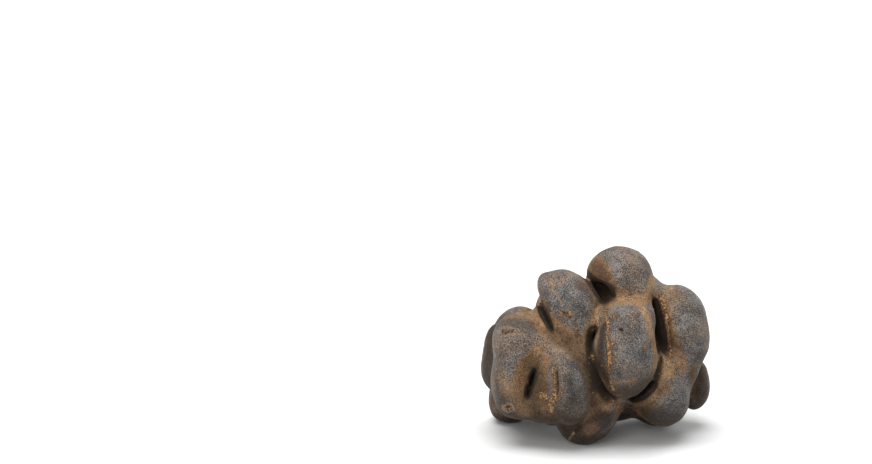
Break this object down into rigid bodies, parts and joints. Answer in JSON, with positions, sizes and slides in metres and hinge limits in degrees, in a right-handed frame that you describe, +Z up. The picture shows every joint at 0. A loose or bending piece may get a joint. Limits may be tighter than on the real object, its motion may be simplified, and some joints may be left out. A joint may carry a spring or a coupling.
{
  "type": "potato",
  "caption": "Knobbly heirloom potato with dark dusty skin, clustered rounded knobs, deep clefts between them and small flat spots that it rests on.",
  "frame": {"origin": "under the middle of the potato, on the surface that it rests on", "axes": "+Z up, +X along its longest side, to the right of a viewer who faces the big front knob, and +Y away from that viewer"},
  "size_m": [0.0818, 0.0644, 0.0687],
  "materials": {
    "skin": "matte dark grey-brown skin with pale brown soil dust in the folds"
  },
  "bodies": {
    "root": {"potato": "skin"}
  },
  "joints": []
}
